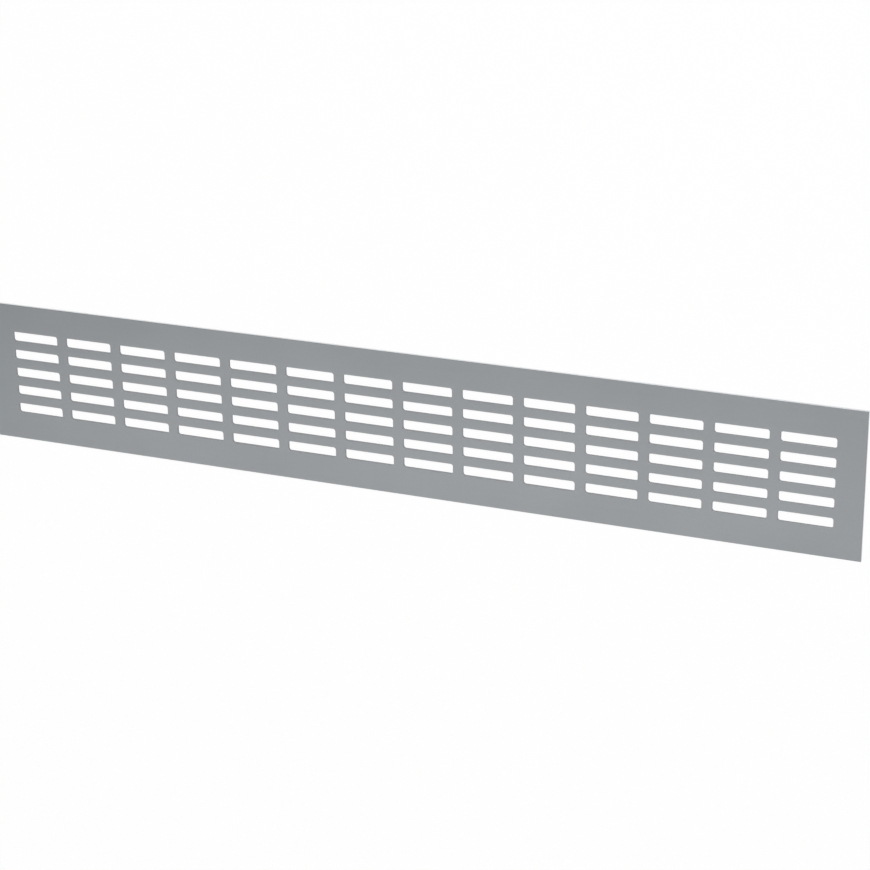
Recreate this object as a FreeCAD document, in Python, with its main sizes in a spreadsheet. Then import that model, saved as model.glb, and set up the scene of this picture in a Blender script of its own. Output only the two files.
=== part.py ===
import FreeCAD, Part
import math
import os
import Sketcher

# Ventilation strip: one flat stamped sheet with a grid of punched slots, lying on its back face.
# X runs along the strip, Y across it, and Z points out of the front face, the one that shows.
# The origin is the centre of the back face. All sizes are in millimetres.

NODE = "vent_strip"

# Driving sizes
DRIVING_SIZES = [
    ("sheet_length", 500.0, "length of the strip, along X"),
    ("sheet_width", 80.0, "width of the strip, along Y"),
    ("sheet_thickness", 1.5, "gauge of the sheet"),
    ("slot_length", 28.4, "one slot, along X"),
    ("slot_width", 5.5, "one slot, along Y"),
    ("slot_corner_radius", 1.3, "rounded corners of the slot punch"),
    ("column_bar", 5.6, "metal left between two slots end to end"),
    ("row_bar", 5.15, "metal left between two rows of slots"),
    ("least_end_margin", 14.0, "plain metal kept at each end of the strip, or more"),
    ("least_side_margin", 15.0, "plain metal kept along each long edge, or more"),
    ("edge_radius", 0.25, "softened edge of the sheet, round the front face"),
]

# Layout that follows from the driving sizes: as many slots as fit, centred on the sheet.
# A span runs from the first slot's centre to the last one's.
LAYOUT = [
    ("column_pitch", "Sizes.slot_length + Sizes.column_bar"),
    ("row_pitch", "Sizes.slot_width + Sizes.row_bar"),
    ("columns", "floor((Sizes.sheet_length - 2 * Sizes.least_end_margin + Sizes.column_bar) / column_pitch)"),
    ("rows", "floor((Sizes.sheet_width - 2 * Sizes.least_side_margin + Sizes.row_bar) / row_pitch)"),
    ("span_x", "(columns - 1) * column_pitch"),
    ("span_y", "(rows - 1) * row_pitch"),
]


def make_sizes(doc):
    sheet = doc.addObject("Spreadsheet::Sheet", "Sizes")
    for row, (alias, value, note) in enumerate(DRIVING_SIZES, start=1):
        sheet.set(f"A{row}", alias)
        sheet.set(f"B{row}", str(value))
        sheet.setAlias(f"B{row}", alias)
        sheet.set(f"C{row}", note)
    return sheet


def make_layout(doc):
    sheet = doc.addObject("Spreadsheet::Sheet", "Layout")
    for row, (alias, formula) in enumerate(LAYOUT, start=1):
        sheet.set(f"A{row}", alias)
        sheet.setAlias(f"B{row}", alias)
        sheet.set(f"B{row}", f"={formula}")
    return sheet


def origin_feature(body, role):
    return next(item for item in body.Origin.OriginFeatures if item.Role == role)


def new_sketch(body, name):
    sketch = body.newObject("Sketcher::SketchObject", name)
    sketch.AttachmentSupport = [(origin_feature(body, "XY_Plane"), "")]
    sketch.MapMode = "FlatFace"
    return sketch


def bind_size(sketch, constraint, expression):
    index = sketch.addConstraint(constraint)
    sketch.setExpression(f"Constraints[{index}]", expression)


# A rectangle centred on the sketch's origin: bottom, right, top and left lines in turn
def draw_rectangle(sketch, length, width, length_expression, width_expression):
    x = length / 2
    y = width / 2
    corners = [(-x, -y), (x, -y), (x, y), (-x, y)]
    points = [FreeCAD.Vector(px, py, 0) for px, py in corners]
    bottom, right, top, left = [
        sketch.addGeometry(Part.LineSegment(points[side], points[(side + 1) % 4]), False)
        for side in range(4)
    ]
    for first, second in ((bottom, right), (right, top), (top, left), (left, bottom)):
        sketch.addConstraint(Sketcher.Constraint("Coincident", first, 2, second, 1))
    for line in (bottom, top):
        sketch.addConstraint(Sketcher.Constraint("Horizontal", line))
    for line in (right, left):
        sketch.addConstraint(Sketcher.Constraint("Vertical", line))
    sketch.addConstraint(Sketcher.Constraint("Symmetric", bottom, 1, top, 1, -1, 1))
    bind_size(sketch, Sketcher.Constraint("DistanceX", bottom, 1, bottom, 2, length), length_expression)
    bind_size(sketch, Sketcher.Constraint("DistanceY", right, 1, right, 2, width), width_expression)


# A rectangle with rounded corners, centred on the sketch's origin
def draw_slot(sketch, length, width, radius):
    x = length / 2
    y = width / 2
    flat_x = x - radius
    flat_y = y - radius
    sides = [
        ((-flat_x, -y), (flat_x, -y)),
        ((x, -flat_y), (x, flat_y)),
        ((flat_x, y), (-flat_x, y)),
        ((-x, flat_y), (-x, -flat_y)),
    ]
    arc_centres = [(flat_x, -flat_y), (flat_x, flat_y), (-flat_x, flat_y), (-flat_x, -flat_y)]
    lines = [
        sketch.addGeometry(Part.LineSegment(FreeCAD.Vector(*start, 0), FreeCAD.Vector(*end, 0)), False)
        for start, end in sides
    ]
    arcs = []
    for corner, centre in enumerate(arc_centres):
        circle = Part.Circle(FreeCAD.Vector(*centre, 0), FreeCAD.Vector(0, 0, 1), radius)
        start_angle = math.pi / 2 * (corner - 1)
        arc = Part.ArcOfCircle(circle, start_angle, start_angle + math.pi / 2)
        arcs.append(sketch.addGeometry(arc, False))
    for corner in range(4):
        next_line = lines[(corner + 1) % 4]
        sketch.addConstraint(Sketcher.Constraint("Tangent", lines[corner], 2, arcs[corner], 1))
        sketch.addConstraint(Sketcher.Constraint("Tangent", arcs[corner], 2, next_line, 1))
    for line in (lines[0], lines[2]):
        sketch.addConstraint(Sketcher.Constraint("Horizontal", line))
    for line in (lines[1], lines[3]):
        sketch.addConstraint(Sketcher.Constraint("Vertical", line))
    for arc in arcs[1:]:
        sketch.addConstraint(Sketcher.Constraint("Equal", arcs[0], arc))
    sketch.addConstraint(Sketcher.Constraint("Symmetric", lines[0], 1, lines[2], 1, -1, 1))
    bind_size(sketch, Sketcher.Constraint("Radius", arcs[0], radius), "Sizes.slot_corner_radius")
    bind_size(sketch, Sketcher.Constraint("DistanceX", lines[3], 1, lines[1], 1, length), "Sizes.slot_length")
    bind_size(sketch, Sketcher.Constraint("DistanceY", lines[0], 1, lines[2], 1, width), "Sizes.slot_width")


# The blank: the plain sheet before punching
def add_blank(body, sizes):
    sketch = new_sketch(body, "BlankOutline")
    draw_rectangle(sketch, sizes.sheet_length, sizes.sheet_width, "Sizes.sheet_length", "Sizes.sheet_width")
    blank = body.newObject("PartDesign::Pad", "Blank")
    blank.Profile = sketch
    blank.setExpression("Length", "Sizes.sheet_thickness")
    return blank


# The sheet's edges are softened on the front only: the back face stays sharp and sits flat
def add_soft_edge(body, blank):
    front_height = blank.Shape.BoundBox.ZMax
    front = next(
        index
        for index, face in enumerate(blank.Shape.Faces, start=1)
        if math.isclose(face.BoundBox.ZMin, front_height, abs_tol=1e-6)
    )
    soft_edge = body.newObject("PartDesign::Fillet", "SoftEdge")
    soft_edge.Base = (blank, [f"Face{front}"])
    soft_edge.setExpression("Radius", "Sizes.edge_radius")
    return soft_edge


# One slot, punched right through at the corner of the grid that is lowest in X and Y
def add_first_slot(body, sizes):
    sketch = new_sketch(body, "SlotOutline")
    sketch.setExpression("AttachmentOffset.Base.x", "-Layout.span_x / 2")
    sketch.setExpression("AttachmentOffset.Base.y", "-Layout.span_y / 2")
    draw_slot(sketch, sizes.slot_length, sizes.slot_width, sizes.slot_corner_radius)
    slot = body.newObject("PartDesign::Pocket", "FirstSlot")
    slot.Profile = sketch
    slot.Type = "ThroughAll"
    slot.Reversed = True
    return slot


# The grid of slots: columns along X and rows along Y
def add_slot_grid(body, slot):
    grid = body.newObject("PartDesign::LinearPattern", "SlotGrid")
    grid.Originals = [slot]
    grid.Direction = (origin_feature(body, "X_Axis"), [""])
    grid.Mode = "Extent"
    grid.setExpression("Length", "Layout.span_x")
    grid.setExpression("Occurrences", "Layout.columns")
    grid.Direction2 = (origin_feature(body, "Y_Axis"), [""])
    grid.Mode2 = "Extent"
    grid.setExpression("Length2", "Layout.span_y")
    grid.setExpression("Occurrences2", "Layout.rows")
    body.Tip = grid


def check_document(doc):
    for item in doc.Objects:
        if "Invalid" in item.State or "Error" in item.State:
            raise RuntimeError(f"{item.Label} didn't build: {item.State}")


def check_shape(body):
    if body.Shape.isNull() or not body.Shape.isValid():
        raise RuntimeError(f"{body.Label} has no valid shape")


def main():
    doc = FreeCAD.newDocument("VentilationStrip")
    sizes = make_sizes(doc)
    layout = make_layout(doc)
    doc.recompute()

    strip = doc.addObject("PartDesign::Body", "Strip")
    strip.Label = NODE
    strip.Placement = FreeCAD.Placement()
    blank = add_blank(strip, sizes)
    doc.recompute()
    soft_edge = add_soft_edge(strip, blank)
    slot = add_first_slot(strip, sizes)
    add_slot_grid(strip, slot)
    doc.recompute()

    check_document(doc)
    check_shape(strip)
    open_share = 1 - strip.Shape.Volume / soft_edge.Shape.Volume
    print(f"{layout.columns} columns by {layout.rows} rows of slots, {open_share:.1%} of the sheet open")

    os.makedirs("parts", exist_ok=True)
    strip.Shape.exportStep(f"parts/{strip.Label}.step")


main()
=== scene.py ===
import bpy
import math
from mathutils import Matrix, Vector


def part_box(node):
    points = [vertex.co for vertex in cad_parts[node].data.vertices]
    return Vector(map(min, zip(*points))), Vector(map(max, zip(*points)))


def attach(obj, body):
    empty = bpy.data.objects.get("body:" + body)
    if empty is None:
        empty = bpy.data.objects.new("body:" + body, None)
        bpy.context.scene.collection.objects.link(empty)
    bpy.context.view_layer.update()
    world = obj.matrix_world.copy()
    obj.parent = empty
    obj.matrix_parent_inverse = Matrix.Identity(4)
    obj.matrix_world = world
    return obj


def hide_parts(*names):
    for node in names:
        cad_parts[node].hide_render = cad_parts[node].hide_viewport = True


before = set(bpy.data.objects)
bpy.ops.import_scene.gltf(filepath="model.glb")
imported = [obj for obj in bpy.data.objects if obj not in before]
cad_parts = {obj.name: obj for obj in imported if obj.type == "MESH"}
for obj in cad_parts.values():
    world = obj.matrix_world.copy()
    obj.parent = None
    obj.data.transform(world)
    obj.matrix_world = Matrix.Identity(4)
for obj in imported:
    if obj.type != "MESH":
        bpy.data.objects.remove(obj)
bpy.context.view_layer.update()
stripLow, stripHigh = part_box("vent_strip")
print("frame loaded")


# Small helpers

def toLinear(hexColour):  # an sRGB hex colour as the linear RGBA that a shader socket holds
    channels = [int(hexColour[i:i + 2], 16) / 255 for i in (1, 3, 5)]
    linear = [c / 12.92 if c <= 0.04045 else ((c + 0.055) / 1.055) ** 2.4 for c in channels]
    return (*linear, 1)


def addNode(material, kind, inputs=None, **settings):  # an input gets a value, or a link from another socket
    node = material.node_tree.nodes.new(kind)
    for name, value in settings.items():
        setattr(node, name, value)
    for socket, value in (inputs or {}).items():
        if isinstance(value, bpy.types.NodeSocket):
            material.node_tree.links.new(value, node.inputs[socket])
        else:
            node.inputs[socket].default_value = value
    return node


def newMaterial(name):
    material = bpy.data.materials.new(name)
    material.use_nodes = True
    material.node_tree.nodes.clear()
    return material


def quarterRound(radius, steps):  # (rise, run) of each step round a quarter circle, from upright to level
    angles = [math.pi / 2 * step / steps for step in range(1, steps + 1)]
    return [(radius * math.sin(a), radius * (1 - math.cos(a))) for a in angles]


def selectRim(piece, wanted):  # in edit mode, picks the open edges whose two ends both pass the test
    bpy.ops.object.mode_set(mode="OBJECT")
    mesh = piece.data
    sideCount = [0] * len(mesh.edges)
    edgeOfKey = {edge.key: edge.index for edge in mesh.edges}
    for face in mesh.polygons:
        for key in face.edge_keys:
            sideCount[edgeOfKey[key]] += 1
    for face in mesh.polygons:
        face.select = False
    for vertex in mesh.vertices:
        vertex.select = False
    for edge in mesh.edges:
        ends = [mesh.vertices[i].co for i in edge.vertices]
        edge.select = sideCount[edge.index] < 2 and all(wanted(end) for end in ends)
        if edge.select:
            for i in edge.vertices:
                mesh.vertices[i].select = True
    bpy.ops.object.mode_set(mode="EDIT")


def stretchRing(fromSize, toSize, rise=0):  # carries a ring of edges to its next size and height
    bpy.ops.mesh.extrude_region_move(TRANSFORM_OT_translate={"value": (0, 0, rise)})
    factors = (toSize[0] / fromSize[0], toSize[1] / fromSize[1], 1)
    bpy.ops.transform.resize(value=factors, center_override=(0, 0, 0))


# The stamped sheet

samePlace = 1e-6  # metres; points nearer than this are one

sheet = {  # lengths in metres, with the slots as on the CAD sheet
    "slotLength": 0.0284,
    "slotWidth": 0.0055,
    "slotCorner": 0.0013,  # radius in the punch's corners
    "cornerSteps": 6,
    "cornerShape": 0.5,  # the bevel's setting for a true arc
    "columnPitch": 0.034,
    "rowPitch": 0.01065,
    "columns": 14,
    "rows": 5,
    "punchRoll": 0.00014,  # how far the punch rolls the front edge over before it cuts
    "rollSteps": 3,
    "cleanCut": 0.0006,  # depth that the punch shears clean; below it the metal tears
    "tearOut": 0.00003,  # how much wider the torn part gets by the back face
    "edgeRadius": 0.00025,  # softened outer edge, as on the CAD sheet
    "edgeSteps": 4,
    "smoothBelow": 35,  # degrees between two faces that still shade as one
}
thickness = stripHigh.z - stripLow.z
sheetSize = (stripHigh.x - stripLow.x, stripHigh.y - stripLow.y)
cellSize = (sheet["columnPitch"], sheet["rowPitch"])
blockSize = (sheet["columns"] * cellSize[0], sheet["rows"] * cellSize[1])


def grown(size, amount):  # the size of a rectangle with this amount added on every side
    return (size[0] + 2 * amount, size[1] + 2 * amount)


def slotProfile():  # (height, growth) of the slot's outline, from the back face to the front
    roll = sheet["punchRoll"]
    profile = [(0, sheet["tearOut"]), (thickness - sheet["cleanCut"], 0), (thickness - roll, 0)]
    return profile + [(thickness - roll + rise, run) for rise, run in quarterRound(roll, sheet["rollSteps"])]


def modelSlotWall():  # one rounded outline, raised through the slot's profile
    slotSize = (sheet["slotLength"], sheet["slotWidth"])
    profile = slotProfile()
    bpy.ops.mesh.primitive_plane_add(size=1, location=(0, 0, 0), enter_editmode=True)
    bpy.ops.transform.resize(value=(*slotSize, 1), center_override=(0, 0, 0))
    bpy.ops.mesh.bevel(
        offset=sheet["slotCorner"], segments=sheet["cornerSteps"],
        profile=sheet["cornerShape"], affect="VERTICES",
    )
    bpy.ops.mesh.delete(type="ONLY_FACE")
    bpy.ops.mesh.select_all(action="SELECT")
    start = grown(slotSize, profile[0][1])
    bpy.ops.transform.resize(
        value=(start[0] / slotSize[0], start[1] / slotSize[1], 1), center_override=(0, 0, 0)
    )
    for (lowHeight, lowGrowth), (height, growth) in zip(profile, profile[1:]):
        stretchRing(grown(slotSize, lowGrowth), grown(slotSize, growth), height - lowHeight)


def fillCellFace(piece, height):  # sheet metal between one slot and the edge of its cell
    bpy.ops.mesh.primitive_plane_add(size=1, location=(0, 0, height))
    bpy.ops.transform.resize(value=(*cellSize, 1), center_override=(0, 0, height))
    bpy.ops.mesh.delete(type="ONLY_FACE")
    selectRim(piece, lambda end: abs(end.z - height) < samePlace)
    bpy.ops.mesh.fill(use_beauty=True)


def repeatCell(piece, axis, count, pitch):
    array = piece.modifiers.new("repeat", "ARRAY")
    array.count = count
    array.use_relative_offset = False
    array.use_constant_offset = True
    array.constant_offset_displace = [pitch if i == axis else 0 for i in range(3)]
    array.use_merge_vertices = True
    array.merge_threshold = samePlace
    bpy.ops.object.modifier_apply(modifier=array.name)


def addMargins(piece):  # plain metal round the slots, over the soft edge and back under the sheet
    selectRim(piece, lambda end: abs(end.z - thickness) < samePlace)
    radius = sheet["edgeRadius"]
    levelSize = grown(sheetSize, -radius)
    stretchRing(blockSize, levelSize)
    height, size = thickness, levelSize
    softEdge = quarterRound(radius, sheet["edgeSteps"])[-2::-1] + [(0, 0)]  # taken from the top down
    for rise, run in softEdge:
        nextHeight, nextSize = thickness - radius + rise, grown(sheetSize, -run)
        stretchRing(size, nextSize, nextHeight - height)
        height, size = nextHeight, nextSize
    stretchRing(size, sheetSize, -height)
    stretchRing(sheetSize, blockSize)
    bpy.ops.mesh.select_all(action="SELECT")
    bpy.ops.mesh.remove_doubles(threshold=samePlace)
    bpy.ops.mesh.normals_make_consistent(inside=False)
    bpy.ops.object.mode_set(mode="OBJECT")


def modelSheet():  # one cell, repeated along and across the sheet, then the margins and the back
    bpy.ops.object.select_all(action="DESELECT")
    modelSlotWall()
    piece = bpy.context.object
    piece.name = "stamped_sheet"
    fillCellFace(piece, thickness)
    fillCellFace(piece, 0)
    bpy.ops.mesh.select_all(action="SELECT")
    firstCell = ((cellSize[0] - blockSize[0]) / 2, (cellSize[1] - blockSize[1]) / 2, 0)
    bpy.ops.transform.translate(value=firstCell)
    bpy.ops.object.mode_set(mode="OBJECT")
    repeatCell(piece, 0, sheet["columns"], cellSize[0])
    repeatCell(piece, 1, sheet["rows"], cellSize[1])
    addMargins(piece)
    bpy.ops.object.shade_smooth_by_angle(angle=math.radians(sheet["smoothBelow"]))
    weighted = piece.modifiers.new("flat faces stay flat", "WEIGHTED_NORMAL")
    weighted.keep_sharp = True
    bpy.ops.object.modifier_apply(modifier=weighted.name)
    return piece


stampedSheet = modelSheet()
print("sheet modelled:", len(stampedSheet.data.polygons), "faces")


# Materials

noiseDetail = 2  # finer layers in each noise pattern
noiseSpread = (0.35, 0.65)  # most of a noise pattern's values lie in between


def addNoise(material, place, size):  # soft spots of this size in metres, along X, Y and Z
    scaled = addNode(material, "ShaderNodeMapping", {"Vector": place, "Scale": [1 / side for side in size]})
    return addNode(
        material, "ShaderNodeTexNoise",
        {"Vector": scaled.outputs[0], "Scale": 1, "Detail": noiseDetail},
    ).outputs[0]


def addRamp(material, value, start, end, low, high):  # runs from low to high as the value nears the end
    return addNode(
        material, "ShaderNodeMapRange",
        {"Value": value, "From Min": start, "From Max": end, "To Min": low, "To Max": high},
    ).outputs[0]


def addBlend(material, share, low, high):  # between two hex colours, which are this node's inputs 6 and 7
    return addNode(
        material, "ShaderNodeMix", {0: share, 6: toLinear(low), 7: toLinear(high)}, data_type="RGBA"
    ).outputs[2]


def finishMetal(material, colour, roughness, height, depth):  # the height map rises by the depth, in metres
    bump = addNode(material, "ShaderNodeBump", {"Height": height, "Strength": 1, "Distance": depth})
    metal = addNode(
        material, "ShaderNodeBsdfPrincipled",
        {"Base Color": colour, "Metallic": 1, "Roughness": roughness, "Normal": bump.outputs[0]},
    )
    addNode(material, "ShaderNodeOutputMaterial", {"Surface": metal.outputs[0]})


satin = {
    "light": "#9B9EA1",
    "dark": "#979A9D",
    "roughness": (0.32, 0.38),  # from the lows of the grain to its tops
    "cloud": (0.06, 0.06, 0.06),  # metres, slow change of tone from the anodising bath
    "line": (0.05, 0.0004, 0.0004),  # metres, rolling lines that the etching leaves
    "lineShare": 0.3,  # of the change of tone
    "grain": (0.00015, 0.00015, 0.00015),  # metres; etched pits are about 0.05 mm, drawn coarser to show
    "grainDepth": 0.0000012,  # metres
}


def makeAnodisedFace():
    # Anodised aluminium, etched matt and sealed: an even grey satin that shows its grain only close up
    material = newMaterial("anodised_aluminium_satin")
    place = addNode(material, "ShaderNodeTexCoord").outputs["Object"]
    clouds = addNoise(material, place, satin["cloud"])
    lines = addNoise(material, place, satin["line"])
    grain = addNoise(material, place, satin["grain"])
    tone = addNode(material, "ShaderNodeMix", {0: satin["lineShare"], 2: clouds, 3: lines}).outputs[0]
    colour = addBlend(material, addRamp(material, tone, *noiseSpread, 0, 1), satin["dark"], satin["light"])
    roughness = addRamp(material, grain, *noiseSpread, *satin["roughness"])
    finishMetal(material, colour, roughness, grain, satin["grainDepth"])
    return material


# Slots are stamped before the sheet is anodised. The strip is cut to width and length after, which bares the
# metal.
# The slot walls are anodised grey, made darker than the face as painted shade; the bare outer edges are made
# near white as painted highlight.
walls = {
    "punched_with_painted_shade": {"clean": "#94979A", "torn": "#888B8E", "roughness": (0.35, 0.55)},  # in the slots
    # bare sheared metal along the sides and across the ends, its near-white tone a painted highlight
    "slit_with_painted_highlight": {"clean": "#F2F3F5", "torn": "#E2E4E6", "roughness": (0.3, 0.5)},  # along the sheet
    "cropped_with_painted_highlight": {"clean": "#D4D6D8", "torn": "#C4C6C8", "roughness": (0.35, 0.6)},  # across its ends
}
shearing = {
    "scratch": (0.00015, 0.00015, 0.004),  # metres, the tool's upright lines, drawn coarser than real ones
    "scratchDepth": 0.00001,  # metres
    "waver": 0.0002,  # metres, how far the line between clean and torn metal wanders
}


def makeShearedWall(name):
    # Sheared aluminium: the tool cuts the front part clean, and the rest tears off duller
    wall = walls[name]
    material = newMaterial("aluminium_" + name)
    place = addNode(material, "ShaderNodeTexCoord").outputs["Object"]
    height = addNode(material, "ShaderNodeSeparateXYZ", {"Vector": place}).outputs["Z"]
    scratches = addNoise(material, place, shearing["scratch"])
    wavering = addNode(
        material, "ShaderNodeMath", {0: scratches, 1: shearing["waver"], 2: height}, operation="MULTIPLY_ADD"
    ).outputs[0]
    tearLine = thickness - sheet["cleanCut"]
    clean = addRamp(material, wavering, tearLine, tearLine + shearing["waver"], 0, 1)
    # The wall colours hold painted light: painted shade on the slot walls, a painted highlight on the sheet's
    # outer edges.
    colour = addBlend(material, clean, wall["torn"], wall["clean"])
    smooth, rough = wall["roughness"]
    roughness = addRamp(material, clean, 0, 1, rough, smooth)
    finishMetal(material, colour, roughness, scratches, shearing["scratchDepth"])
    return material


steepest = 0.2  # upward part of a face's normal, above which the face is satin and not a sheared wall


def finishOf(polygon):  # told by the way that the polygon faces and by its place on the sheet
    x, y, _ = polygon.center
    if abs(polygon.normal.z) > steepest:
        return "satin"
    # Walls within the slot block take the grey with painted shade; the outer walls take the near-white with
    # painted highlight.
    if abs(x) < blockSize[0] / 2 and abs(y) < blockSize[1] / 2:
        return "punched_with_painted_shade"
    return "cropped_with_painted_highlight" if abs(polygon.normal.x) > abs(polygon.normal.y) else "slit_with_painted_highlight"


def dressSheet(piece):
    finishes = {"satin": makeAnodisedFace(), **{name: makeShearedWall(name) for name in walls}}
    for material in finishes.values():
        piece.data.materials.append(material)
    order = list(finishes)
    for polygon in piece.data.polygons:
        polygon.material_index = order.index(finishOf(polygon))


dressSheet(stampedSheet)
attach(stampedSheet, "root")
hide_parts("vent_strip")
print("sheet dressed")


# Floor, light and camera

stage = {  # lengths in metres
    "floorSize": 8,
    "floorGap": 0.00002,  # keeps the floor just clear of the sheet's back face
    "bend": 0.6,  # radius with which the floor's rim turns up into the backdrop
    "bendSteps": 8,
    "backdropHeight": 3,
    "paper": "#FDFDFD",
    "light": "#FFFFFF",  # of the paper's glow and of the world
    "glow": 0.95,  # how much of what is seen is plain white; the rest takes light and shadow
    "worldStrength": 0.5,
}


def seenDirectly(material):  # 1 for what the camera sees straight, mirrored or through glass, else 0
    path = addNode(material, "ShaderNodeLightPath").outputs
    seen = path["Is Camera Ray"]
    for kind in ("Is Glossy Ray", "Is Transmission Ray"):
        seen = addNode(material, "ShaderNodeMath", {0: seen, 1: path[kind]}, operation="MAXIMUM").outputs[0]
    return seen


def makeStudioPaper():  # pale matt paper that is seen as white and still takes the object's shadow
    material = newMaterial("studio_paper")
    share = addNode(
        material, "ShaderNodeMath", {0: seenDirectly(material), 1: stage["glow"]}, operation="MULTIPLY"
    ).outputs[0]
    lit = addNode(material, "ShaderNodeBsdfDiffuse", {"Color": toLinear(stage["paper"])}).outputs[0]
    glow = addNode(
        material, "ShaderNodeEmission", {"Color": toLinear(stage["light"]), "Strength": 1}
    ).outputs[0]
    mixed = addNode(material, "ShaderNodeMixShader", {0: share, 1: lit, 2: glow}).outputs[0]
    addNode(material, "ShaderNodeOutputMaterial", {"Surface": mixed})
    return material


def makeBackdrop():  # a floor whose rim turns up all round, so that a low view sees no edge of it
    bpy.ops.object.select_all(action="DESELECT")
    bpy.ops.mesh.primitive_plane_add(
        size=stage["floorSize"], location=(0, 0, stripLow.z - stage["floorGap"]), enter_editmode=True
    )
    backdrop = bpy.context.object
    backdrop.name = "floor_and_backdrop"
    floorSize = (stage["floorSize"], stage["floorSize"])
    size, height = floorSize, 0
    for run, rise in quarterRound(stage["bend"], stage["bendSteps"]):  # swapped: from level to upright
        nextSize = grown(floorSize, run)
        stretchRing(size, nextSize, rise - height)
        size, height = nextSize, rise
    stretchRing(size, size, stage["backdropHeight"] - height)
    bpy.ops.mesh.delete(type="ONLY_FACE")  # the lid that the extrusion carried up
    bpy.ops.object.mode_set(mode="OBJECT")
    backdrop.data.materials.append(makeStudioPaper())


def makeWorld():  # even white light from all round
    world = bpy.context.scene.world or bpy.data.worlds.new("studio")
    bpy.context.scene.world = world
    world.use_nodes = True
    world.node_tree.nodes.clear()
    sky = addNode(
        world, "ShaderNodeBackground", {"Color": toLinear(stage["light"]), "Strength": stage["worldStrength"]}
    ).outputs[0]
    addNode(world, "ShaderNodeOutputWorld", {"Surface": sky})


lamps = {  # place, aim and size in metres, power in watts
    "softbox": ((-0.5, -0.585, 1.3), (-0.5, -0.585, 0.0), (1.6, 0.15), 1.96),
    "overhead": ((0.0, 0.25, 1.8), (0.0, 0.0, 0.0), (1.0, 1.0), 1.2),
    "back": ((0.5, 1.2, 1.5), (0.0, 0.0, 0.0), (1.4, 1.4), 17),
}


def makeLamps():
    for name, (place, aim, size, power) in lamps.items():
        direction = Vector(aim) - Vector(place)
        bpy.ops.object.light_add(
            type="AREA", location=place, rotation=direction.to_track_quat("-Z", "Y").to_euler()
        )
        lamp = bpy.context.object
        lamp.name = name
        lamp.data.shape = "RECTANGLE"
        lamp.data.size, lamp.data.size_y = size
        lamp.data.energy = power


camera = {
    "place": (0.4744, 0.4485, 1.0695),
    "aim": (0.0213, -0.0033, 0.0015),  # where the view's middle meets the front face
    "roll": 0.913,  # degrees
    "lens": 97.85,  # millimetres
    "sensor": 36,  # millimetres wide
}


def makeCamera():  # looks down on the sheet, with the sheet's width upright in the picture
    place = Vector(camera["place"])
    forward = (Vector(camera["aim"]) - place).normalized()
    right = forward.cross(Vector((0, 1, 0))).normalized()
    upright = Matrix((right, right.cross(forward), -forward)).transposed()
    turned = upright @ Matrix.Rotation(math.radians(-camera["roll"]), 3, "Z")
    bpy.ops.object.camera_add(location=place, rotation=turned.to_euler())
    shot = bpy.context.object
    shot.data.sensor_width = camera["sensor"]
    shot.data.lens = camera["lens"]
    bpy.context.scene.camera = shot


makeBackdrop()
makeWorld()
makeLamps()
makeCamera()
bpy.context.scene.view_settings.view_transform = "Standard"
print("stage set")
